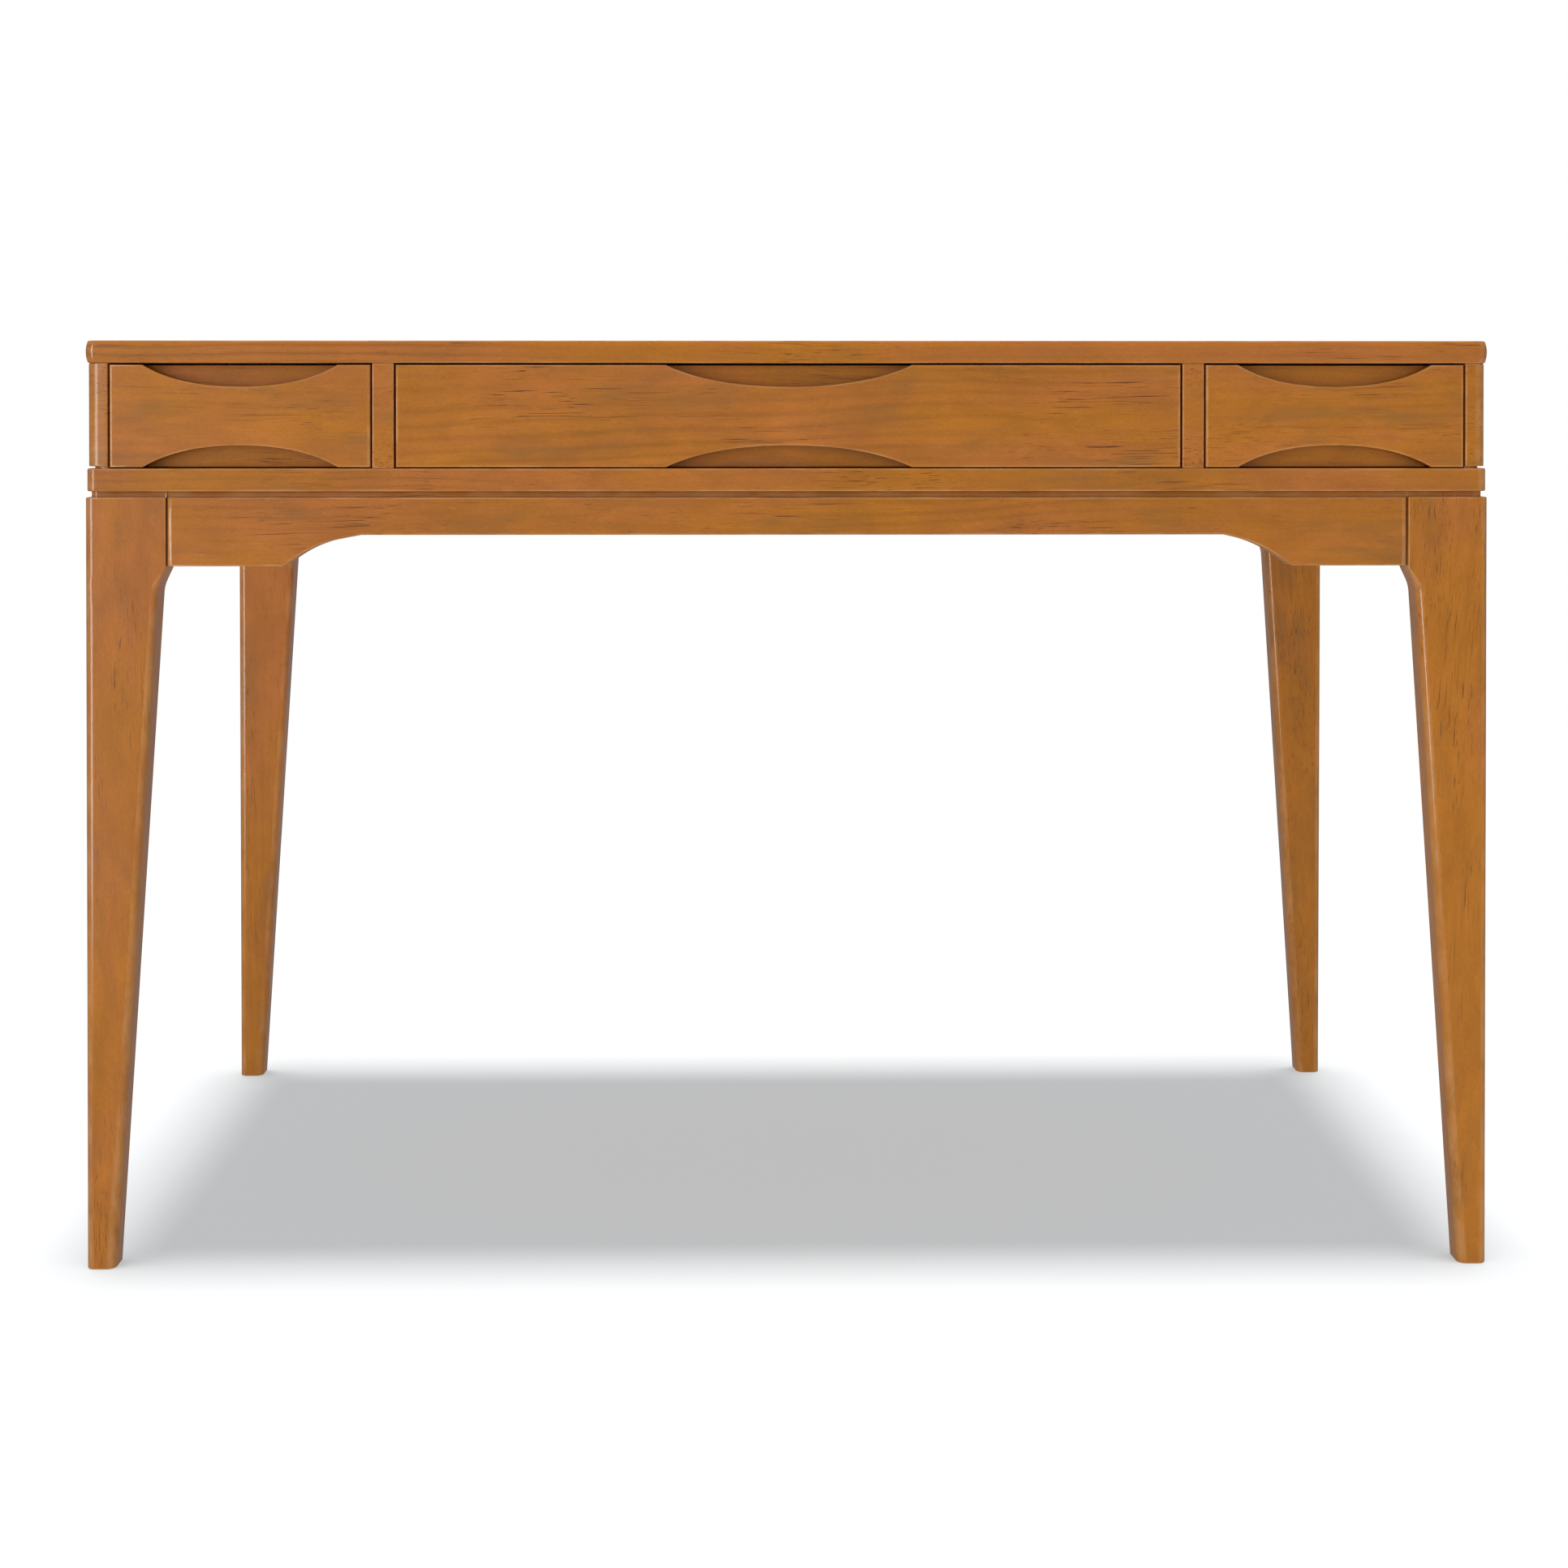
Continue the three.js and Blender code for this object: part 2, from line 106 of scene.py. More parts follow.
APRON_END_HEIGHT = mm(58.5)
APRON_MIDDLE_HEIGHT = mm(32)
APRON_END_ROUND = mm(4.4)
APRON_EDGE = mm(0.9)
APRON_TOP_EDGE = mm(0.3)
ARCH_END = mm(98.5)
ARCH_BEND_ACROSS = mm(29)
ARCH_BEND_UP = mm(19.4)
ARCH_LEFT = mm(66.5)
ARCH_RIGHT = mm(58.5)
ARCH_STRAIGHT = 0.45

GRIP_DEPTH = mm(18.5)
GRIP_HALF = {"left": mm(82.5), "centre": mm(104.5), "right": mm(82.5)}
FRONT_ROUND = mm(0.9)
FRONT_END_ROUND = mm(1.7)

BOX_GROOVE_DEPTH = mm(6)
BOX_GROOVE_SLACK = mm(0.3)
BOX_EDGE = mm(0.7)
BOX_END_EDGE = mm(0.25)
BOX_BOTTOM_EDGE = mm(0.3)

BRACKET_EDGE = mm(0.4)
BOLT_EDGE = mm(0.2)
RAIL_EDGE = mm(0.25)

LEG_TONES = {
    "leg_front_left": 0.94,
    "leg_front_right": 1.0,
    "leg_rear_left": 0.98,
    "leg_rear_right": 0.93,
}

ROUND_STEPS = 6
EDGE_STEPS = 4
TOP_EDGE_STEPS = 12
TAPER_SHARES = (0.2, 0.4, 0.6, 0.8, 0.97)
WAIST_STEPS = 4
ARCH_STEPS = 18
GRIP_STEPS = 20
SHARP_EDGE = math.radians(40)

NARROWEST_FLAT = mm(3.5)
SHORTEST_EDGE = mm(0.25)
EDGE_LIGHTENING_REACH = mm(1)
EDGE_LIGHTENING_STARTS = math.radians(9)
EDGE_LIGHTENING_FULL = math.radians(17)

SIDES = (("left", -1), ("right", 1))
ENDS = (("front", -1), ("rear", 1))


# ---------------------------------------------------------------- outlines
def rounded_rectangle(x0, x1, y0, y1, radii, steps=ROUND_STEPS):
    """Points of a rectangle with its own radius at each corner, from (x0, y0) round."""
    corners = (
        (x0, y0, 1, 1, 1.0),
        (x1, y0, -1, 1, 1.5),
        (x1, y1, -1, -1, 0.0),
        (x0, y1, 1, -1, 0.5),
    )
    points = []
    for (x, y, sign_x, sign_y, start), radius in zip(corners, radii):
        for step in range(steps + 1):
            angle = math.pi * (start + 0.5 * step / steps)
            px = x + radius * (sign_x + math.cos(angle))
            py = y + radius * (sign_y + math.sin(angle))
            points.append((px, py))
    return points


def signed_area(points):
    total = 0.0
    for (ax, ay), (bx, by) in zip(points, points[1:] + points[:1]):
        total += ax * by - bx * ay
    return total / 2


def inset_outline(points, insets):
    """The outline with each side moved inwards by its own distance; side i starts at point i."""
    turn = 1 if signed_area(points) > 0 else -1
    count = len(points)
    sides = []
    for i in range(count):
        a = Vector(points[i])
        b = Vector(points[(i + 1) % count])
        along = (b - a).normalized()
        inward = Vector((-along.y, along.x)) * turn
        sides.append((along, inward))
    moved = []
    for i in range(count):
        before, inward_before = sides[i - 1]
        after, inward_after = sides[i]
        point = Vector(points[i])
        off_before = insets[i - 1]
        off_after = insets[i]
        cross = before.x * after.y - before.y * after.x
        if abs(cross) < 1e-4:
            new = point + inward_after * off_after
        else:
            start = point + inward_before * off_before
            other = point + inward_after * off_after
            gap = other - start
            share = (gap.x * after.y - gap.y * after.x) / cross
            new = start + before * share
        moved.append((new.x, new.y))
    return moved


def bezier(p0, p1, p2, p3, steps):
    points = []
    for step in range(1, steps + 1):
        t = step / steps
        s = 1 - t
        x = s**3 * p0[0] + 3 * s * s * t * p1[0] + 3 * s * t * t * p2[0] + t**3 * p3[0]
        y = s**3 * p0[1] + 3 * s * s * t * p1[1] + 3 * s * t * t * p2[1] + t**3 * p3[1]
        points.append((x, y))
    return points


# ---------------------------------------------------------------- meshes
PLACES = {
    "across": lambda u, v, depth: (u, depth, v),  # drawn in X and Z, thick along Y
    "along": lambda u, v, depth: (depth, u, v),  # drawn in Y and Z, thick along X
    "upright": lambda u, v, depth: (u, v, depth),  # drawn in X and Y, thick along Z
}


def loft(levels, place="upright"):
    """A closed mesh through outlines with equal numbers of points, given as (depth, points)."""
    put = PLACES[place]
    mesh = bmesh.new()
    rings = []
    for depth, points in levels:
        rings.append([mesh.verts.new(put(u, v, depth)) for u, v in points])
    count = len(rings[0])
    for lower, upper in zip(rings, rings[1:]):
        for i in range(count):
            j = (i + 1) % count
            mesh.faces.new((lower[i], lower[j], upper[j], upper[i]))
    mesh.faces.new(rings[0])
    mesh.faces.new(rings[-1])
    bmesh.ops.recalc_face_normals(mesh, faces=mesh.faces)
    return mesh


def edge_depths(largest):
    """Depths of the rings that round an edge, closer together near the face."""
    return [largest * (1 - math.cos(0.5 * math.pi * k / EDGE_STEPS)) for k in range(EDGE_STEPS + 1)]


def edge_inset(radius, depth):
    """How far a rounded edge of that radius stands back at that depth under the face."""
    if depth >= radius:
        return 0.0
    return radius - math.sqrt(radius * radius - (radius - depth) ** 2)


def plate_levels(points, near, far, near_radii, far_radii):
    """Levels of a plate whose two faces have rounded edges, each side with its own radius."""
    direction = 1 if far > near else -1
    levels = []
    for depth in edge_depths(max(near_radii)):
        insets = [edge_inset(radius, depth) for radius in near_radii]
        levels.append((near + direction * depth, inset_outline(points, insets)))
    for depth in reversed(edge_depths(max(far_radii))):
        insets = [edge_inset(radius, depth) for radius in far_radii]
        levels.append((far - direction * depth, inset_outline(points, insets)))
    return levels


def plate(points, near, far, place, radius):
    """A plate with every edge of its two faces rounded alike."""
    radii = [radius] * len(points)
    return loft(plate_levels(points, near, far, radii, radii), place)


def flat_faces(mesh):
    """The faces that are wide enough to have a border of their own."""
    faces = []
    for face in mesh.faces:
        longest = max(edge.calc_length() for edge in face.edges)
        if face.calc_area() / longest > NARROWEST_FLAT:
            faces.append(face)
    return faces


def weld(mesh, faces, distance):
    """Joins the corners of these faces that lie closer than that to each other."""
    corners = dict.fromkeys(vertex for face in faces for vertex in face.verts)
    bmesh.ops.remove_doubles(mesh, verts=list(corners), dist=distance)


def frame_flat_faces(mesh):
    """Puts a narrow border inside each flat face, so that the lightening of rounded edges stays close to
    them.
    """
    weld(mesh, flat_faces(mesh), SHORTEST_EDGE)
    flat = flat_faces(mesh)
    bmesh.ops.inset_region(
        mesh, faces=flat, thickness=EDGE_LIGHTENING_REACH, use_boundary=True, use_even_offset=True
    )
    weld(mesh, flat, EDGE_LIGHTENING_REACH)


def mark_rounded_edges(mesh):
    """Writes how rounded-over each point is, from 0 on flat wood to 1 on a fully rounded edge."""
    layer = mesh.verts.layers.float.new("edge")
    mesh.normal_update()
    for vertex in mesh.verts:
        turn = 0.0
        for edge in vertex.link_edges:
            if len(edge.link_faces) == 2:
                turn = max(turn, edge.calc_face_angle_signed(0.0))
        vertex[layer] = min(1.0, max(0.0, (turn - EDGE_LIGHTENING_STARTS) / (EDGE_LIGHTENING_FULL - EDGE_LIGHTENING_STARTS)))


def add_piece(name, mesh, node, material):
    """A finished piece that stands for one CAD node and rides on that node's body."""
    frame_flat_faces(mesh)
    mark_rounded_edges(mesh)
    data = bpy.data.meshes.new(name)
    mesh.to_mesh(data)
    mesh.free()
    data.materials.append(material)
    for polygon in data.polygons:
        polygon.use_smooth = True
    data.set_sharp_from_angle(angle=SHARP_EDGE)
    piece = bpy.data.objects.new(name, data)
    bpy.context.scene.collection.objects.link(piece)
    weighted = piece.modifiers.new("even_shading", "WEIGHTED_NORMAL")
    weighted.keep_sharp = True
    weighted.weight = 100
    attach(piece, frame["nodes"][node]["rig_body"])
    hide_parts(node)
    return piece


# ---------------------------------------------------------------- shader helpers
class Shader:
    """Short ways to add nodes to one material."""

    def __init__(self, name):
        self.material = bpy.data.materials.new(name)
        self.material.use_nodes = True
        self.tree = self.material.node_tree
        self.tree.nodes.clear()
        self.output = self.tree.nodes.new("ShaderNodeOutputMaterial")
        self.surface = self.tree.nodes.new("ShaderNodeBsdfPrincipled")
        self.tree.links.new(self.surface.outputs[0], self.output.inputs["Surface"])

    def put(self, socket, value):
        if isinstance(value, bpy.types.NodeSocket):
            self.tree.links.new(value, socket)
        else:
            socket.default_value = value

    def set(self, name, value):
        """Gives one input of the surface a constant or a link."""
        self.put(self.surface.inputs[name], value)

    def math(self, operation, first, second=0.0, third=0.0):
        node = self.tree.nodes.new("ShaderNodeMath")
        node.operation = operation
        for socket, value in zip(node.inputs, (first, second, third)):
            self.put(socket, value)
        return node.outputs[0]

    def times(self, first, second):
        return self.math("MULTIPLY", first, second)

    def scale_and_add(self, value, scale, added):
        return self.math("MULTIPLY_ADD", value, scale, added)

    def vector(self, operation, first, second=(0.0, 0.0, 0.0)):
        node = self.tree.nodes.new("ShaderNodeVectorMath")
        node.operation = operation
        self.put(node.inputs[0], first)
        self.put(node.inputs[1], second)
        return node.outputs["Value"] if operation == "LENGTH" else node.outputs["Vector"]

    def noise(self, place, scale, detail=2.0, roughness=0.5, distortion=0.0, output="Fac"):
        node = self.tree.nodes.new("ShaderNodeTexNoise")
        self.put(node.inputs["Vector"], place)
        node.inputs["Scale"].default_value = scale
        node.inputs["Detail"].default_value = detail
        node.inputs["Roughness"].default_value = roughness
        node.inputs["Distortion"].default_value = distortion
        return node.outputs[output]

    def stretch(self, place, along, across, offset=0.0):
        scaled = self.vector("MULTIPLY", place, (along, across, across))
        return self.vector("ADD", scaled, (offset, 1.7 * offset, 2.3 * offset))

    def streaks(self, place, along, across, offset=0.0, detail=2.0, roughness=0.5, distortion=0.0):
        """Noise drawn out along the grain, so many cells a metre along it and across it."""
        return self.noise(self.stretch(place, along, across, offset), 1.0, detail, roughness, distortion)

    def wander(self, place, scale, reach):
        """The place moved about across the grain, so that nothing runs dead straight."""
        drift = self.noise(place, scale, 2.0, output="Color")
        drift = self.vector("SUBTRACT", drift, (0.5, 0.5, 0.5))
        drift = self.vector("MULTIPLY", drift, (0.0, reach, reach))
        return self.vector("ADD", place, drift)

    def remap(self, value, low, high, new_low=0.0, new_high=1.0, smooth=True):
        node = self.tree.nodes.new("ShaderNodeMapRange")
        node.interpolation_type = "SMOOTHSTEP" if smooth else "LINEAR"
        self.put(node.inputs["Value"], value)
        node.inputs["From Min"].default_value = low
        node.inputs["From Max"].default_value = high
        node.inputs["To Min"].default_value = new_low
        node.inputs["To Max"].default_value = new_high
        return node.outputs["Result"]

    def mix(self, factor, first, second, blend="MIX"):
        node = self.tree.nodes.new("ShaderNodeMix")
        node.data_type = "RGBA"
        node.blend_type = blend
        self.put(node.inputs["Factor"], factor)
        self.put(node.inputs[6], first)
        self.put(node.inputs[7], second)
        return node.outputs[2]

    def grey(self, value):
        node = self.tree.nodes.new("ShaderNodeCombineColor")
        for socket in node.inputs[:3]:
            self.put(socket, value)
        return node.outputs[0]

    def attribute(self, name):
        node = self.tree.nodes.new("ShaderNodeAttribute")
        node.attribute_name = name
        return node.outputs["Fac"]

    def object_place(self):
        return self.tree.nodes.new("ShaderNodeTexCoord").outputs["Object"]

    def split(self, value):
        """The X, Y and Z parts of a vector."""
        node = self.tree.nodes.new("ShaderNodeSeparateXYZ")
        self.put(node.inputs[0], value)
        return node.outputs

    def upward(self):
        """How far the surface looks up: 1 straight up, -1 straight down."""
        geometry = self.tree.nodes.new("ShaderNodeNewGeometry")
        return self.split(geometry.outputs["Normal"])[2]

    def grain_place(self, axis, lean):
        """Object coordinates with the grain along X, leaning a little, shifted at random."""
        parts = self.split(self.object_place())
        join = self.tree.nodes.new("ShaderNodeCombineXYZ")
        order = {"x": (0, 1, 2), "y": (1, 2, 0), "z": (2, 0, 1)}[axis]
        for socket, index in zip(join.inputs, order):
            self.put(socket, parts[index])
        node = self.tree.nodes.new("ShaderNodeMapping")
        self.put(node.inputs["Vector"], join.outputs[0])
        node.inputs["Rotation"].default_value = (0.0, lean[0], lean[1])
        node.inputs["Location"].default_value = [random.uniform(-4, 4) for _ in range(3)]
        return node.outputs[0]

    def bump(self, height, strength, distance):
        node = self.tree.nodes.new("ShaderNodeBump")
        self.put(node.inputs["Height"], height)
        node.inputs["Strength"].default_value = strength
        node.inputs["Distance"].default_value = distance
        self.set("Normal", node.outputs[0])
        if self.surface.inputs["Coat Weight"].is_linked:
            self.set("Coat Normal", node.outputs[0])


def colour(red, green, blue, tone=1.0):
    return (red * tone, green * tone, blue * tone, 1.0)


# ---------------------------------------------------------------- stained pine
RING_WIDTH = mm(7.5)
RING_HEART = (0.0, 0.11, 0.06)
REDDISH = (0.404, 0.131, 0.0225)
GOLDEN = (0.396, 0.138, 0.0105)
SMUDGED = (0.235, 0.105, 0.026)
FLECKED = (0.56, 0.27, 0.09)
RESIN = (0.118, 0.040, 0.010)
# Lightened edge colour: stain thinned by wear, and a painted highlight.
RUBBED_AND_HIGHLIT = (0.62, 0.33, 0.14)


def staves(shader, place, width):
    """A random colour and number for each glued stave, the same all along it."""
    stave = shader.math("FLOOR", shader.math("DIVIDE", shader.split(place)[1], width))
    node = shader.tree.nodes.new("ShaderNodeTexWhiteNoise")
    node.noise_dimensions = "1D"
    shader.put(node.inputs["W"], stave)
    return node.outputs["Color"], node.outputs["Value"]


def late_wood(shader, place, wide):
    """The dark part of growth rings round a heart that lies well outside the board, 0 to 1."""
    heart = shader.vector("ADD", place, RING_HEART)
    flat = shader.vector("MULTIPLY", heart, (0.0, 1.0, wide))
    radius = shader.vector("LENGTH", flat)
    waver = shader.times(shader.streaks(place, 2.0, 16.0), 16.0)
    phase = shader.scale_and_add(radius, 2 * math.pi / RING_WIDTH, waver)
    ring = shader.scale_and_add(shader.math("SINE", phase), 0.5, 0.5)
    late = shader.math("POWER", ring, 2.5)
    patches = shader.remap(shader.streaks(place, 2.2, 9.0, 5.0, detail=1.0), 0.42, 0.66)
    return shader.times(late, shader.scale_and_add(patches, 0.8, 0.2))


def resin_marks(shader, figure, lines, ticks):
    """Dark resin lines, long and thin, in loose groups, and shorter ticks between them."""
    groups = shader.streaks(figure, 6.0, 27.0, 6.0)
    line = shader.streaks(figure, 13.0, 1050.0, 7.0, detail=1.2)
    line = shader.times(shader.remap(line, 0.62, 0.68), shader.remap(groups, 0.47, 0.60))
    line = shader.times(line, lines)
    tick_groups = shader.streaks(figure, 12.0, 26.0, 8.0)
    tick = shader.streaks(figure, 62.0, 1150.0, 9.0, detail=1.0)
    tick = shader.times(shader.remap(tick, 0.66, 0.71), shader.remap(tick_groups, 0.5, 0.64))
    tick = shader.times(tick, 0.7 * ticks)
    return shader.math("MAXIMUM", line, tick)


def stain_and_sheen_colour(shader, figure, tone, gold_and_sheen):
    """The stain, redder on the left and above and more golden on the right and below: a painted sheen,
    stronger where the light falls.
    """
    blotch = shader.streaks(figure, 5.0, 15.0, 1.0, detail=3.0, roughness=0.55)
    x, _, z = shader.split(shader.object_place())
    # Painted sheen: the colour leans redder towards the left and the top, and more golden towards the
    # right and the bottom.
    drift = shader.remap(x, -0.6, 0.6, gold_and_sheen - 0.04, gold_and_sheen + 0.04, False)
    drift = shader.math("ADD", drift, shader.remap(z, 0.2, 0.62, 0.2, 0.0, False))
    hue_and_sheen = shader.remap(shader.math("ADD", blotch, drift), 0.36, 0.64)
    return shader.mix(hue_and_sheen, colour(*REDDISH, tone), colour(*GOLDEN, tone))


def stain_depth(shader, figure, fibre, mottle, clouds):
    """How light or dark the stain has dried: about 1, and lower where it is darker."""
    cloud = shader.streaks(figure, 15.0, 34.0, 2.0, detail=4.0, roughness=0.62, distortion=0.4)
    shade = shader.remap(cloud, 0.25, 0.75, 1 - 0.15 * clouds, 1 + 0.15 * clouds, False)
    shade = shader.times(shade, shader.remap(fibre, 0.2, 0.8, 0.93, 1.06, False))
    return shader.times(shade, shader.remap(mottle, 0.2, 0.8, 0.88, 1.12, False))


def rubbed_and_highlit_edges(shader, place):
    """How much the rounded edges are lightened: stain thinned by wear, and a painted highlight along
    them.
    """
    wear_and_highlight = shader.streaks(place, 30.0, 60.0, 13.0, detail=3.0, roughness=0.6)
    wear_and_highlight = shader.scale_and_add(shader.remap(wear_and_highlight, 0.35, 0.7), 0.34, 0.12)
    return shader.times(shader.attribute("edge"), wear_and_highlight)


def satin_lacquer(shader):
    """A clear coat, thin on faces that look down and thinning to none on faces that look up."""
    shader.set("Coat Roughness", 0.09)
    upward = shader.upward()
    weight = shader.remap(upward, -0.75, -0.25, 0.15, 0.8)
    shader.set("Coat Weight", shader.times(weight, shader.remap(upward, 0.6, 0.95, 1.0, 0.0)))


def stained_pine(
    name,
    axis,
    lean=(0.0, 0.0),
    tone=1.0,
    gold_and_sheen=0.0,
    glued=0.0,
    ticks=1.0,
    lines=1.0,
    rings=1.0,
    wide=1.0,
    grit=1.0,
    clouds=1.0,
):
    """Honey-brown stained pine under satin lacquer, with the grain along one axis.

    lean turns the grain a little out of that axis. gold above 0 makes the stain more golden; on the legs
    it also sets a painted sheen, stronger on the left.
    glued is the width of the staves of a glued-up board. wide below 1 draws the figure out
    across the end grain as well. grit above 1 is rougher. clouds below 1 evens out the stain.
    """
    shader = Shader(name)
    place = shader.grain_place(axis, lean)
    if glued:
        stave_colour, stave_tone = staves(shader, place, glued)
        shift = shader.vector("MULTIPLY", stave_colour, (7.0, 0.0, 0.3))
        place = shader.vector("ADD", place, shift)
    place = shader.wander(place, 2.6, mm(22))
    place = shader.wander(place, 17.0, mm(1.6))
    figure = shader.vector("MULTIPLY", place, (1.0, 1.0, wide))
    fibre = shader.streaks(figure, 26.0, 780.0, 3.0, detail=3.0, roughness=0.6)
    mottle = shader.streaks(figure, 330.0, 620.0, 4.0, detail=3.0, roughness=0.7)
    smudge = shader.streaks(figure, 9.0, 38.0, 12.0, detail=3.0, roughness=0.6, distortion=0.3)
    fleck = shader.streaks(figure, 45.0, 900.0, 11.0, detail=1.0)
    resin = resin_marks(shader, figure, lines, ticks)
    lightened_edges = rubbed_and_highlit_edges(shader, place)

    shade = stain_depth(shader, figure, fibre, mottle, clouds)
    late = late_wood(shader, place, wide)
    shade = shader.times(shade, shader.scale_and_add(late, -0.15 * rings, 1.03))
    if glued:
        shade = shader.times(shade, shader.remap(stave_tone, 0.0, 1.0, 0.94, 1.05, False))
    wood = stain_and_sheen_colour(shader, figure, tone, gold_and_sheen)
    wood = shader.mix(1.0, wood, shader.grey(shade), "MULTIPLY")
    smudge = shader.times(shader.remap(smudge, 0.5, 0.75), 0.5 * clouds)
    wood = shader.mix(smudge, wood, colour(*SMUDGED, tone))
    fleck = shader.times(shader.remap(fleck, 0.68, 0.76), 0.16)
    wood = shader.mix(fleck, wood, colour(*FLECKED))
    wood = shader.mix(shader.times(resin, 0.85), wood, colour(*RESIN))
    # Rounded edges lightened: stain thinned by wear, and a painted highlight along them.
    wood = shader.mix(lightened_edges, wood, colour(*RUBBED_AND_HIGHLIT))
    shader.set("Base Color", wood)

    rough = shader.scale_and_add(mottle, 0.16, 0.34)
    rough = shader.scale_and_add(resin, 0.2, rough)
    rough = shader.scale_and_add(lightened_edges, 0.25, rough)
    shader.set("Roughness", rough)
    shader.set("Specular IOR Level", 0.12)
    satin_lacquer(shader)

    grain = shader.noise(place, 900.0, 2.0, 0.6)
    relief = shader.scale_and_add(fibre, 0.25, shader.times(grain, 0.6 * grit))
    relief = shader.scale_and_add(resin, -0.08, relief)
    shader.bump(relief, 0.5, mm(0.2))
    return shader.material


# ---------------------------------------------------------------- pale wood and plywood
PLY_PAIR = mm(2.4)


def pale_wood(name, axis):
    """Plain pale softwood of the drawer boxes, sanded and thinly sealed."""
    shader = Shader(name)
    place = shader.grain_place(axis, (0.0, 0.01))
    drift = shader.noise(place, 3.0, 2.0, output="Color")
    drift = shader.vector("MULTIPLY", drift, (0.0, 0.02, 0.02))
    place = shader.vector("ADD", place, drift)
    rings = shader.streaks(place, 1.6, 110.0)
    fibre = shader.streaks(place, 30.0, 900.0, 3.0, detail=3.0, roughness=0.6)
    pores = shader.remap(shader.streaks(place, 70.0, 900.0, 5.0, detail=1.0), 0.64, 0.74)
    early_wood = colour(0.62, 0.42, 0.22)
    dark_rings = colour(0.47, 0.28, 0.125)
    wood = shader.mix(shader.remap(rings, 0.35, 0.68), early_wood, dark_rings)
    wood = shader.mix(shader.remap(fibre, 0.3, 0.8, 0.0, 0.3), wood, colour(0.40, 0.23, 0.10))
    wood = shader.mix(shader.times(pores, 0.6), wood, colour(0.20, 0.10, 0.045))
    lightened_edges = shader.times(shader.attribute("edge"), 0.35)
    wood = shader.mix(lightened_edges, wood, colour(0.70, 0.52, 0.31))
    shader.set("Base Color", wood)
    shader.set("Roughness", shader.scale_and_add(fibre, 0.18, 0.46))
    shader.bump(shader.scale_and_add(pores, -0.8, fibre), 0.4, mm(0.15))
    return shader.material


def plywood(name):
    """Thin birch-faced ply of the drawer bottoms, with its plies showing at the edges."""
    shader = Shader(name)
    place = shader.grain_place("x", (0.0, 0.0))
    figure = shader.streaks(place, 2.2, 26.0, detail=3.0, roughness=0.55, distortion=0.6)
    fibre = shader.streaks(place, 34.0, 700.0, 2.0, detail=3.0, roughness=0.6)
    height = shader.split(shader.object_place())[2]
    ply = shader.math("FRACT", shader.math("DIVIDE", height, PLY_PAIR))
    ply = shader.remap(shader.math("PINGPONG", ply, 0.5), 0.18, 0.3)
    on_edge = shader.remap(shader.math("ABSOLUTE", shader.upward()), 0.4, 0.7, 1.0, 0.0)
    light_wood = colour(0.66, 0.49, 0.29)
    dark_wood = colour(0.54, 0.37, 0.20)
    wood = shader.mix(shader.remap(figure, 0.35, 0.7), light_wood, dark_wood)
    wood = shader.mix(shader.remap(fibre, 0.35, 0.8, 0.0, 0.25), wood, colour(0.44, 0.28, 0.14))
    wood = shader.mix(shader.times(shader.times(ply, on_edge), 0.6), wood, colour(0.30, 0.17, 0.08))
    shader.set("Base Color", wood)
    shader.set("Roughness", shader.scale_and_add(fibre, 0.2, 0.5))
    shader.bump(fibre, 0.3, mm(0.1))
    return shader.material


# ---------------------------------------------------------------- steel
def steel(name, bright, dark, rough):
    """Plated steel with drawn lines, a faint crystal pattern and dull smears."""
    shader = Shader(name)
    place = shader.object_place()
    drawn = shader.noise(shader.vector("MULTIPLY", place, (900.0, 12.0, 900.0)), 1.0, 2.0, 0.6)
    crystal = shader.tree.nodes.new("ShaderNodeTexVoronoi")
    shader.put(crystal.inputs["Vector"], place)
    crystal.inputs["Scale"].default_value = 170.0
    spangle = shader.remap(shader.noise(crystal.outputs["Color"], 3.0, 0.0), 0.3, 0.7)
    smear = shader.noise(place, 38.0, 4.0, 0.65)
    tint = shader.mix(shader.times(spangle, 0.35), colour(*bright), colour(*dark))
    tint = shader.mix(shader.remap(smear, 0.45, 0.75, 0.0, 0.5), tint, colour(*dark))
    shader.set("Base Color", tint)
    shader.set("Metallic", 1.0)
    value = shader.scale_and_add(drawn, 0.12, rough - 0.06)
    shader.set("Roughness", shader.scale_and_add(smear, 0.16, value))
    shader.bump(shader.scale_and_add(smear, 0.3, drawn), 0.2, mm(0.05))
    return shader.material


zinc_steel = steel("zinc_steel", (0.62, 0.63, 0.64), (0.40, 0.41, 0.43), 0.30)
dark_steel = steel("dark_steel", (0.24, 0.24, 0.25), (0.13, 0.13, 0.14), 0.40)
box_bottom_ply = plywood("plywood")
pale_wood_x = pale_wood("pale_wood_across", "x")
pale_wood_y = pale_wood("pale_wood_deep", "y")


# ---------------------------------------------------------------- top and case
def inset_rectangle(lowest, highest, inset, radius):
    return rounded_rectangle(
        lowest.x + inset, highest.x - inset, lowest.y + inset, highest.y - inset, [radius] * 4
    )


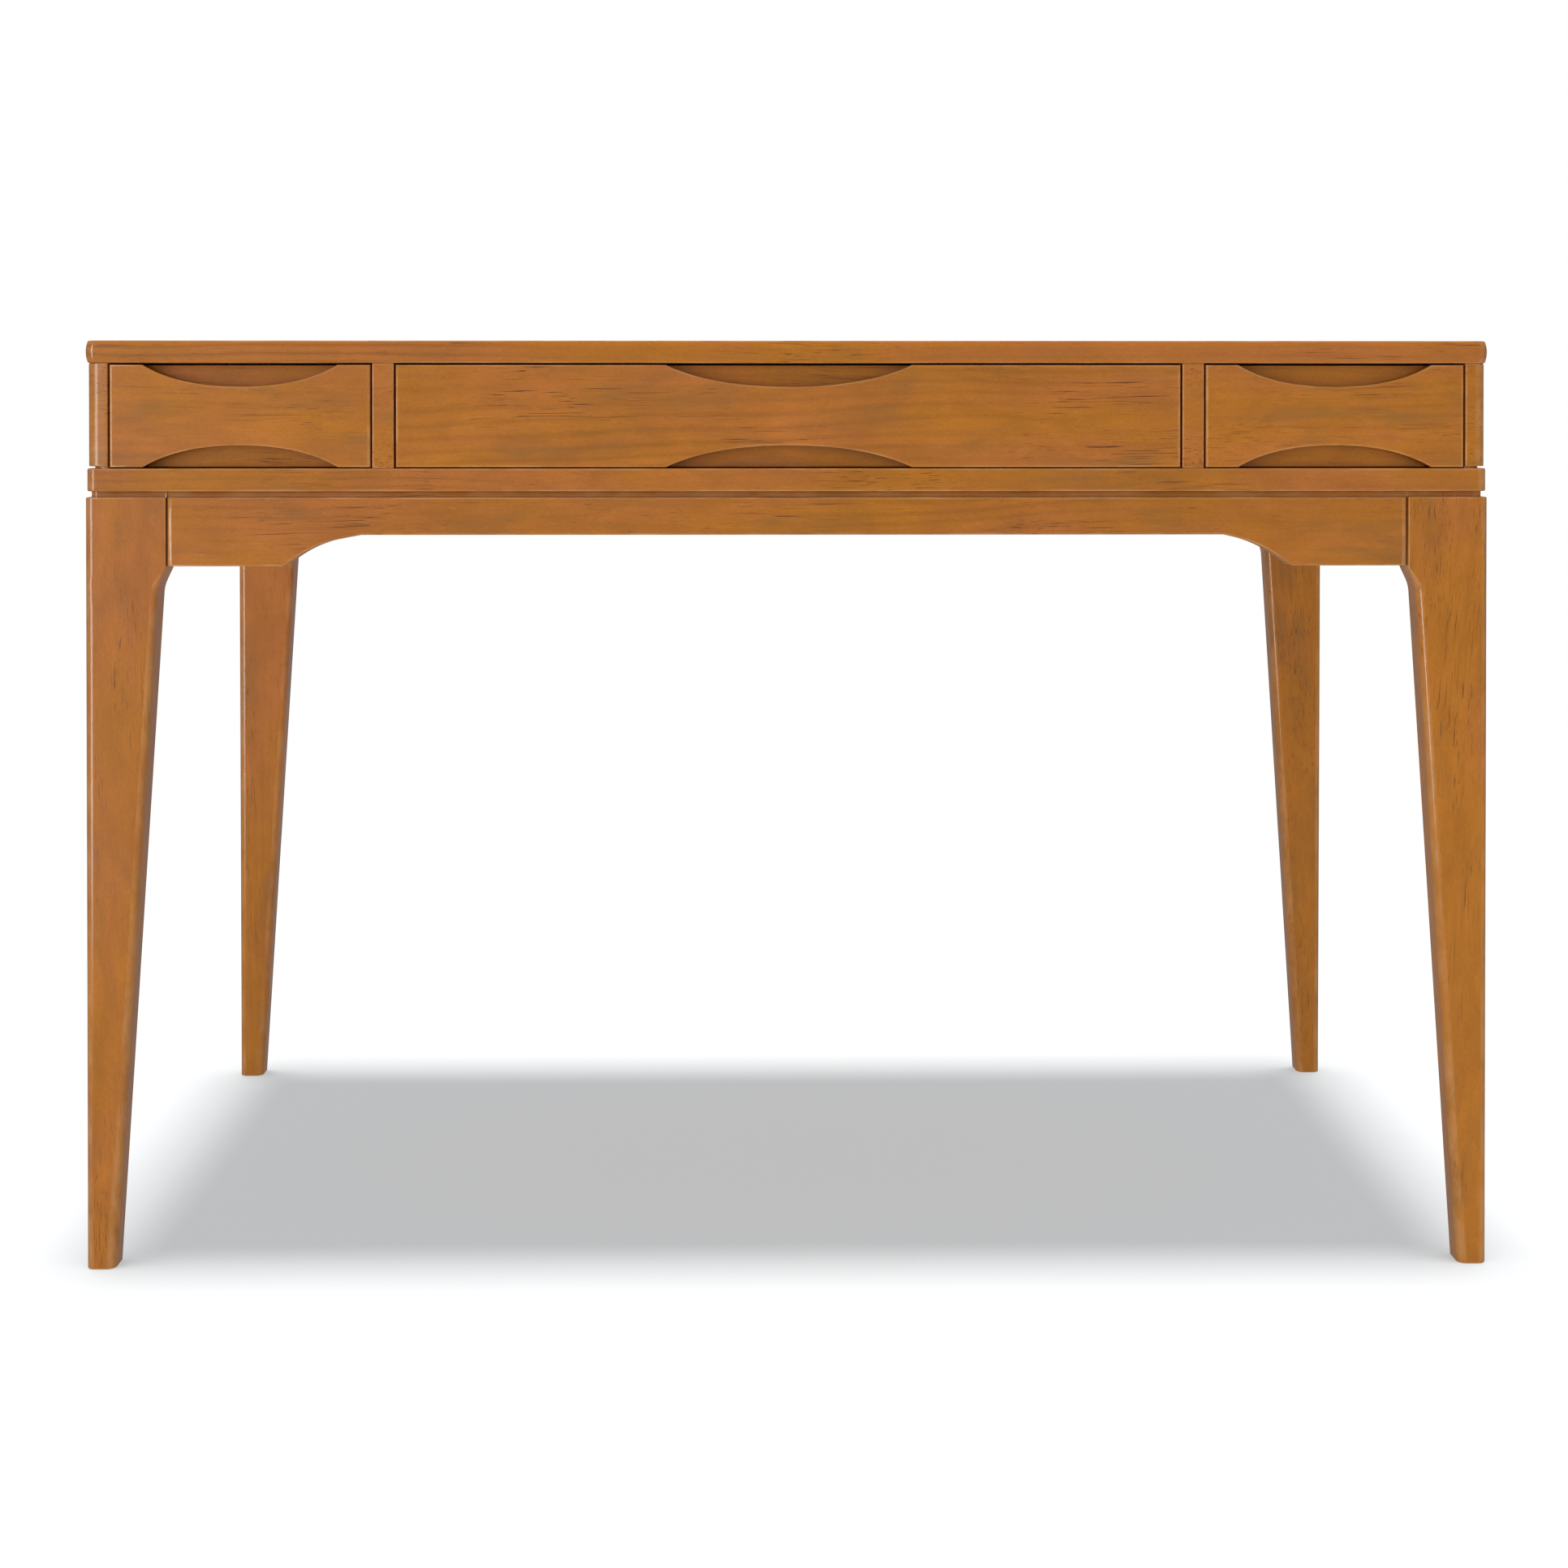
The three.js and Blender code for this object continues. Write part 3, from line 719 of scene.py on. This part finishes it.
def add_tabletop():
    """The top, whose upright edge swells a little between its rounded arrises."""
    lowest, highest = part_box("tabletop")
    thickness = highest.z - lowest.z

    def swell(height):
        return TOP_BULGE * (2 * height / thickness - 1) ** 2

    start = swell(ARRIS)
    arris = []
    for k in range(EDGE_STEPS + 1):
        angle = 0.5 * math.pi * k / EDGE_STEPS
        height = ARRIS * (1 - math.cos(angle))
        arris.append((height, start + (TOP_BULGE + ARRIS - start) * (1 - math.sin(angle))))
    levels = list(arris)
    for k in range(1, TOP_EDGE_STEPS):
        height = ARRIS + (thickness - 2 * ARRIS) * k / TOP_EDGE_STEPS
        levels.append((height, swell(height)))
    levels += [(thickness - height, inset) for height, inset in reversed(arris)]
    rings = [
        (lowest.z + height, inset_rectangle(lowest, highest, inset, TOP_CORNER))
        for height, inset in levels
    ]
    lean = (0.0, 0.006)
    material = stained_pine("pine_tabletop", "x", lean, tone=0.96, glued=TOP_STAVE, rings=1.8, clouds=0.5)
    add_piece("tabletop_board", loft(rings), "tabletop", material)


def add_case_bottom():
    lowest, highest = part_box("case_bottom")

    def outline(depth):
        return inset_rectangle(lowest, highest, edge_inset(ARRIS, depth), BOARD_CORNER)

    rings = [(lowest.z + depth, outline(depth)) for depth in edge_depths(ARRIS)]
    rings += [(highest.z - depth, outline(depth)) for depth in reversed(edge_depths(ARRIS))]
    material = stained_pine("pine_case_bottom", "x", (0.01, -0.012), glued=BOARD_STAVE)
    add_piece("case_bottom_board", loft(rings), "case_bottom", material)


def end_grain_pine(node):
    """Pine of an upright panel whose front edge shows its figure drawn out."""
    return stained_pine(f"pine_{node}", "y", (0.0, 0.03), rings=0.6, wide=0.22, grit=2.2)


def add_side_panel(side, sign):
    """A side of the case, with a groove all round its foot and rounded outer corners."""
    node = f"case_side_{side}"
    lowest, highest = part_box(node)
    outer = max(abs(lowest.x), abs(highest.x))
    inner = min(abs(lowest.x), abs(highest.x))

    def outline(inset):
        radii = [SIDE_CORNER, ARRIS, ARRIS, SIDE_CORNER]
        points = rounded_rectangle(-outer + inset, -inner, lowest.y + inset, highest.y - inset, radii)
        return [(-sign * x, y) for x, y in points]

    groove_top = lowest.z + SIDE_GROOVE_HEIGHT
    rings = [(lowest.z, outline(SIDE_GROOVE_DEPTH)), (groove_top, outline(SIDE_GROOVE_DEPTH))]
    for depth in edge_depths(PANEL_EDGE):
        rings.append((groove_top + depth, outline(edge_inset(PANEL_EDGE, depth))))
    for depth in reversed(edge_depths(ARRIS)):
        rings.append((highest.z - depth, outline(edge_inset(ARRIS, depth))))
    add_piece(f"{node}_panel", loft(rings), node, end_grain_pine(node))


def add_board(node, name, material, radius=PANEL_EDGE):
    """A plain board the size of its CAD node, with every edge a little rounded."""
    lowest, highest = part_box(node)
    outline = rounded_rectangle(lowest.x, highest.x, lowest.y, highest.y, [radius] * 4, EDGE_STEPS)
    return add_piece(name, plate(outline, lowest.z, highest.z, "upright", radius), node, material)


def add_case():
    add_tabletop()
    add_case_bottom()
    for side, sign in SIDES:
        add_side_panel(side, sign)
        node = f"case_divider_{side}"
        add_board(node, f"{node}_board", end_grain_pine(node), ARRIS)
    material = stained_pine("pine_case_back", "x", (0.0, 0.01))
    add_board("case_back", "case_back_board", material)


# ---------------------------------------------------------------- legs
def leg_levels(base, leg_top, board_under):
    """Height, insets, width, thickness and inner rounding of a leg, from the floor up."""

    def tapered(z):
        share = (z - base) / (SHOULDER_BOTTOM - base)
        width = LEG_FOOT_WIDTH + share * (LEG_WAIST_WIDTH - LEG_FOOT_WIDTH)
        thickness = LEG_FOOT_THICKNESS + share * (LEG_THICKNESS - LEG_FOOT_THICKNESS)
        inner = LEG_FOOT_ROUND + share * (LEG_WAIST_ROUND - LEG_FOOT_ROUND)
        return width, thickness, inner

    levels = []
    for depth in edge_depths(ARRIS):
        inset = edge_inset(ARRIS, depth)
        width, thickness, inner = tapered(base + depth)
        levels.append((base + depth, inset, inset, width - inset, thickness - inset, inner))
    for share in TAPER_SHARES:
        z = base + share * (SHOULDER_BOTTOM - base)
        levels.append((z, 0.0, 0.0, *tapered(z)))
    # The waist is eased into the shoulder by a small hollow.
    rise = SHOULDER_TOP - SHOULDER_BOTTOM
    start = tapered(SHOULDER_BOTTOM - WAIST_EASE)[0]
    finish = LEG_WAIST_WIDTH + WAIST_EASE / rise * (LEG_WIDTH - LEG_WAIST_WIDTH)
    for step in range(WAIST_STEPS + 1):
        t = step / WAIST_STEPS
        z = SHOULDER_BOTTOM - WAIST_EASE + 2 * WAIST_EASE * t
        width = (1 - t) ** 2 * start + 2 * t * (1 - t) * LEG_WAIST_WIDTH + t * t * finish
        inner = LEG_WAIST_ROUND + (ARRIS - LEG_WAIST_ROUND) * max(0.0, (z - SHOULDER_BOTTOM) / rise)
        levels.append((z, 0.0, 0.0, width, LEG_THICKNESS, inner))
    levels.append((SHOULDER_TOP, 0.0, 0.0, LEG_WIDTH, LEG_THICKNESS, ARRIS))
    for depth in reversed(edge_depths(LEG_TOP_EDGE)):
        inset = edge_inset(LEG_TOP_EDGE, depth)
        levels.append((leg_top - depth, inset, inset, LEG_WIDTH, LEG_THICKNESS, ARRIS))
    neck = (NECK_SIDE_INSET, NECK_FRONT_INSET, LEG_WIDTH, LEG_THICKNESS, ARRIS)
    levels.append((leg_top, *neck))
    levels.append((board_under, *neck))
    return levels


def add_leg(side, side_sign, end, end_sign):
    """A tapered leg with a shoulder and, above it, the set-back neck that meets the board."""
    node = f"leg_{end}_{side}"
    lowest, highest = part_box(node)
    outer = max(abs(lowest.x), abs(highest.x))
    face = max(abs(lowest.y), abs(highest.y))
    rings = []
    levels = leg_levels(lowest.z, highest.z - NECK_HEIGHT, highest.z)
    for z, in_x, in_y, width, thickness, inner in levels:
        back = min(inner, LEG_BACK_ROUND)
        inner_pair = (inner, back) if end == "front" else (back, inner)
        radii = [LEG_OUTER_ROUND, *inner_pair, LEG_OUTER_ROUND]
        outline = rounded_rectangle(in_x, width, in_y, thickness, radii)
        placed = [(side_sign * (outer - x), end_sign * (face - y)) for x, y in outline]
        rings.append((z, placed))
    lean = (0.05 * side_sign, -0.05 * side_sign if end == "front" else 0.03)
    # Painted sheen: the left legs are made redder and the right legs more golden.
    gold_and_sheen = {"left": -0.04, "right": 0.03}[side]
    tone = LEG_TONES[node]
    material = stained_pine(f"pine_{node}", "z", lean, tone, gold_and_sheen, rings=0.45, ticks=0.7, lines=0.8)
    add_piece(f"{node}_post", loft(rings), node, material)


# ---------------------------------------------------------------- aprons
def arch_points(half, direction, run, leg_top):
    """One end of an apron's lower edge, inwards from the low corner to the flat middle."""
    low = leg_top - APRON_END_HEIGHT
    high = leg_top - APRON_MIDDLE_HEIGHT
    corner = Vector((-half + ARCH_END, low))
    bend = Vector((corner.x + ARCH_BEND_ACROSS, low + ARCH_BEND_UP))
    finish = Vector((corner.x + run, high))
    before = corner.lerp(bend, ARCH_STRAIGHT)
    after = finish.lerp(bend, ARCH_STRAIGHT)
    points = [corner]
    for step in range(ARCH_STEPS + 1):
        t = step / ARCH_STEPS
        points.append(before * (1 - t) ** 2 + bend * (2 * t * (1 - t)) + after * (t * t))
    points.append(finish)
    return [(direction * point.x, point.y) for point in points]


def apron_outline(half, run_left, run_right, leg_top, top):
    low = leg_top - APRON_END_HEIGHT
    left = arch_points(half, 1, run_left, leg_top)
    right = arch_points(half, -1, run_right, leg_top)
    right.reverse()
    return [(-half, top), (-half, low), *left, *right, (half, low), (half, top)]


def apron_mesh(half, runs, outer, inner, neck, leg_top, top, place):
    """An apron with its shadow groove under the board. outer and inner are its two faces."""
    low_outline = apron_outline(half, *runs, leg_top, leg_top)
    high_outline = apron_outline(half, *runs, leg_top, top)
    count = len(low_outline)
    outer_radii = [APRON_EDGE] * count
    outer_radii[0] = APRON_END_ROUND
    outer_radii[count - 2] = APRON_END_ROUND
    inner_radii = [APRON_EDGE] * count
    inner_radii[count - 1] = APRON_TOP_EDGE
    direction = 1 if inner > outer else -1
    levels = []
    for depth in edge_depths(APRON_END_ROUND):
        insets = [edge_inset(radius, depth) for radius in outer_radii]
        levels.append((outer + direction * depth, inset_outline(low_outline, insets)))
    step = outer + direction * neck
    if neck > APRON_END_ROUND:
        levels.append((step, low_outline))
        levels.append((step, high_outline))
    else:
        levels[-1] = (levels[-1][0], low_outline)
        levels.append((levels[-1][0], high_outline))
    for depth in reversed(edge_depths(APRON_EDGE)):
        insets = [edge_inset(radius, depth) for radius in inner_radii]
        levels.append((inner - direction * depth, inset_outline(high_outline, insets)))
    return loft(levels, place)


def add_aprons():
    leg_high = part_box("leg_front_left")[1].z
    leg_top = leg_high - NECK_HEIGHT
    leg_face = abs(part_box("leg_front_left")[0].y)
    leg_outer = abs(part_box("leg_front_left")[0].x)
    for end, sign in ENDS:
        node = f"apron_{end}"
        lowest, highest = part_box(node)
        outer, inner = (lowest.y, highest.y) if sign < 0 else (highest.y, lowest.y)
        neck = NECK_FRONT_INSET - (leg_face - abs(outer))
        runs = (ARCH_LEFT, ARCH_RIGHT) if sign < 0 else (ARCH_LEFT, ARCH_LEFT)
        mesh = apron_mesh(highest.x, runs, outer, inner, neck, leg_top, highest.z, "across")
        material = stained_pine(f"pine_{node}", "x", (0.01, 0.02 * sign), tone=0.94)
        add_piece(f"{node}_rail", mesh, node, material)
    for side, sign in SIDES:
        node = f"apron_{side}"
        lowest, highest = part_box(node)
        outer, inner = (lowest.x, highest.x) if sign < 0 else (highest.x, lowest.x)
        neck = NECK_SIDE_INSET - (leg_outer - abs(outer))
        runs = (ARCH_LEFT, ARCH_LEFT)
        mesh = apron_mesh(highest.y, runs, outer, inner, neck, leg_top, highest.z, "along")
        material = stained_pine(f"pine_{node}", "y", (0.01, 0.02 * sign))
        add_piece(f"{node}_rail", mesh, node, material)


# ---------------------------------------------------------------- drawers
def grip_points(centre, edge, half, depth, direction):
    """A finger grip scooped out of an edge, steep at its ends and flat in the middle."""

    def at(share):
        return centre + direction * share * half

    tip = edge - depth
    steep = edge - 0.67 * depth
    start = (at(-1), edge)
    middle = (at(0), tip)
    finish = (at(1), edge)
    first = bezier(start, (at(-0.75), steep), (at(-0.41), tip), middle, GRIP_STEPS)
    second = bezier(middle, (at(0.41), tip), (at(0.75), steep), finish, GRIP_STEPS)
    return [start, *first, *second]


def add_drawer_front(name):
    """A drawer's front panel, with a finger grip scooped out of its top and bottom edges."""
    node = f"drawer_{name}_front"
    lowest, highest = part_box(node)
    centre = (lowest.x + highest.x) / 2
    half = GRIP_HALF[name]
    points = [(lowest.x, lowest.z)]
    points += grip_points(centre, lowest.z, half, -GRIP_DEPTH, 1)
    points += [(highest.x, lowest.z), (highest.x, highest.z)]
    points += grip_points(centre, highest.z, half, GRIP_DEPTH, -1)
    points += [(lowest.x, highest.z)]
    radii = [FRONT_ROUND] * len(points)
    radii[-1] = FRONT_END_ROUND
    radii[points.index((highest.x, lowest.z))] = FRONT_END_ROUND
    mesh = loft(plate_levels(points, lowest.y, highest.y, radii, radii), "across")
    lean = {"left": -0.012, "centre": 0.012, "right": 0.02}[name]
    lines = {"left": 0.6, "centre": 1.3, "right": 0.8}[name]
    material = stained_pine(f"pine_{node}", "x", (lean, 0.0), lines=lines)
    add_piece(f"{node}_panel", mesh, node, material)


def groove_section(outer, inner, low, high, groove_low, groove_high):
    """The section of a box wall, with a groove in its inner face for the bottom panel."""
    deep = inner + math.copysign(BOX_GROOVE_DEPTH, outer - inner)
    return [
        (outer, low),
        (inner, low),
        (inner, groove_low),
        (deep, groove_low),
        (deep, groove_high),
        (inner, groove_high),
        (inner, high),
        (outer, high),
    ]


def soften(points, radius, steps=3):
    """The outline with its sharp corners rounded."""
    result = []
    count = len(points)
    for i in range(count):
        point = Vector(points[i])
        before = Vector(points[i - 1]) - point
        after = Vector(points[(i + 1) % count]) - point
        reach = min(radius, 0.4 * before.length, 0.4 * after.length)
        start = point + before.normalized() * reach
        finish = point + after.normalized() * reach
        for step in range(steps + 1):
            t = step / steps
            place = start * (1 - t) ** 2 + point * (2 * t * (1 - t)) + finish * (t * t)
            result.append((place.x, place.y))
    return result


def add_drawer_box(name):
    """The four walls and the bottom of a drawer, behind its front panel."""
    prefix = f"drawer_{name}_box"
    bottom_low, bottom_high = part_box(f"{prefix}_bottom")
    groove_low = bottom_low.z - BOX_GROOVE_SLACK
    groove_high = bottom_high.z + BOX_GROOVE_SLACK

    lowest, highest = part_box(f"{prefix}_front")
    section = groove_section(lowest.y, highest.y, lowest.z, highest.z, groove_low, groove_high)
    mesh = plate(soften(section, BOX_EDGE), lowest.x, highest.x, "along", BOX_END_EDGE)
    material = stained_pine(f"pine_{prefix}_front", "x", gold_and_sheen=0.12)
    add_piece(f"{prefix}_front_wall", mesh, f"{prefix}_front", material)

    for side, sign in SIDES:
        node = f"{prefix}_side_{side}"
        lowest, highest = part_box(node)
        outer, inner = (lowest.x, highest.x) if sign < 0 else (highest.x, lowest.x)
        section = groove_section(outer, inner, lowest.z, highest.z, groove_low, groove_high)
        mesh = plate(soften(section, BOX_EDGE), lowest.y, highest.y, "across", BOX_END_EDGE)
        add_piece(f"{node}_wall", mesh, node, pale_wood_y)

    add_board(f"{prefix}_back", f"{prefix}_back_wall", pale_wood_x, BOX_EDGE)
    add_board(f"{prefix}_bottom", f"{prefix}_bottom_panel", box_bottom_ply, BOX_BOTTOM_EDGE)


# ---------------------------------------------------------------- metal parts
def finish_cad_metal(node, material, width):
    """Keeps a CAD node, with its edges softened and a steel finish."""
    part = frame["nodes"][node]
    for place in part.material_slots:
        place.material = material
    joined = part.modifiers.new("joined_faces", "WELD")
    joined.merge_threshold = mm(0.01)
    bevel = part.modifiers.new("soft_edges", "BEVEL")
    bevel.width = width
    bevel.segments = 2
    bevel.limit_method = "ANGLE"
    bevel.angle_limit = SHARP_EDGE


def add_metal():
    for end, _ in ENDS:
        for side, _ in SIDES:
            finish_cad_metal(f"corner_bracket_{end}_{side}", zinc_steel, BRACKET_EDGE)
            finish_cad_metal(f"leg_bolt_{end}_{side}", dark_steel, BOLT_EDGE)
    for name in GRIP_HALF:
        for side, _ in SIDES:
            finish_cad_metal(f"drawer_{name}_case_rail_{side}", zinc_steel, RAIL_EDGE)
            finish_cad_metal(f"drawer_{name}_middle_rail_{side}", dark_steel, RAIL_EDGE)
            finish_cad_metal(f"drawer_{name}_drawer_rail_{side}", zinc_steel, RAIL_EDGE)


# ---------------------------------------------------------------- stage, light and camera
FLOOR_HALF = 1.8
FLOOR_GLOW = 0.438
WORLD_LIGHT = 0.25
BACKDROP_LIGHT = 1.0

CAMERA_PLACE = (-0.0279, -2.2605, 0.7139)
CAMERA_DIP = 0.529  # degrees below level
CAMERA_TURN = 0.694  # degrees to the right of straight ahead
CAMERA_LENS = 52.866
CAMERA_SHIFT = -0.2128


def add_floor():
    """A plain pale floor with a faint glow of its own, which keeps the shadow on it light."""
    mesh = bmesh.new()
    bmesh.ops.create_grid(mesh, x_segments=2, y_segments=2, size=FLOOR_HALF)
    data = bpy.data.meshes.new("floor")
    mesh.to_mesh(data)
    mesh.free()
    floor = bpy.data.objects.new("floor", data)
    bpy.context.scene.collection.objects.link(floor)
    shader = Shader("floor_paint")
    shader.set("Base Color", colour(0.5, 0.5, 0.5))
    shader.set("Roughness", 1.0)
    shader.set("Specular IOR Level", 0.0)
    shader.set("Emission Color", colour(0.89, 0.96, 1.0))
    shader.set("Emission Strength", FLOOR_GLOW)
    data.materials.append(shader.material)
    return floor


def leave_out(light, thing):
    """The light doesn't reach that object."""
    group = bpy.data.collections.new(f"{light.name}_leaves_out")
    group.objects.link(thing)
    light.light_linking.receiver_collection = group
    group.collection_objects[0].light_linking.link_state = "EXCLUDE"


def add_area(name, place, target, width, height, power):
    data = bpy.data.lights.new(name, "AREA")
    data.shape = "RECTANGLE"
    data.size = width
    data.size_y = height
    data.energy = power
    light = bpy.data.objects.new(name, data)
    light.location = place
    light.rotation_euler = (Vector(target) - Vector(place)).to_track_quat("-Z", "Y").to_euler()
    bpy.context.scene.collection.objects.link(light)
    return light


def add_sun(name, strength, angle):
    data = bpy.data.lights.new(name, "SUN")
    data.energy = strength
    data.angle = math.radians(angle)
    light = bpy.data.objects.new(name, data)
    bpy.context.scene.collection.objects.link(light)
    return light


def add_background(tree, strength):
    node = tree.nodes.new("ShaderNodeBackground")
    node.inputs["Color"].default_value = colour(1.0, 1.0, 1.0)
    node.inputs["Strength"].default_value = strength
    return node.outputs[0]


def add_world():
    """A white backdrop that lights the desk less than it shows."""
    world = bpy.data.worlds.new("studio")
    world.use_nodes = True
    tree = world.node_tree
    tree.nodes.clear()
    output = tree.nodes.new("ShaderNodeOutputWorld")
    ray = tree.nodes.new("ShaderNodeLightPath")
    choose = tree.nodes.new("ShaderNodeMixShader")
    tree.links.new(ray.outputs["Is Camera Ray"], choose.inputs["Fac"])
    tree.links.new(add_background(tree, WORLD_LIGHT), choose.inputs[1])
    tree.links.new(add_background(tree, BACKDROP_LIGHT), choose.inputs[2])
    tree.links.new(choose.outputs[0], output.inputs["Surface"])
    bpy.context.scene.world = world


def add_camera():
    data = bpy.data.cameras.new("camera")
    data.sensor_width = 36.0
    data.lens = CAMERA_LENS
    data.shift_y = CAMERA_SHIFT
    data.clip_end = 60.0
    camera = bpy.data.objects.new("camera", data)
    camera.location = CAMERA_PLACE
    camera.rotation_euler = (math.radians(90 - CAMERA_DIP), 0.0, math.radians(-CAMERA_TURN))
    bpy.context.scene.collection.objects.link(camera)
    bpy.context.scene.camera = camera


def add_lights(floor):
    """An overhead light that throws the shadow, and three panels that leave the floor alone."""
    sun = add_sun("overhead", strength=3.3, angle=11.0)
    front = add_area(
        "front_panel", (2.6, -4.4, 0.7), target=(0.3, 0.0, 0.7), width=3.4, height=3.2, power=62.0
    )
    rear = add_area(
        "rear_panel", (0.0, 4.8, 1.3), target=(0.0, 0.0, 0.7), width=5.0, height=3.0, power=70.0
    )
    left = add_area(
        "left_softbox", (-3.15, -4.7, 1.0), target=(0.0, 0.0, 0.6), width=1.6, height=3.6, power=142.0
    )
    for panel in (front, rear, left):
        leave_out(panel, floor)
    for hidden in (sun, front, rear, floor):
        hidden.visible_glossy = False


bpy.context.scene.view_settings.view_transform = "Standard"
add_camera()
add_world()
add_lights(add_floor())

add_case()
for side_name, side_direction in SIDES:
    for end_name, end_direction in ENDS:
        add_leg(side_name, side_direction, end_name, end_direction)
add_aprons()
for drawer_name in GRIP_HALF:
    add_drawer_front(drawer_name)
    add_drawer_box(drawer_name)
add_metal()
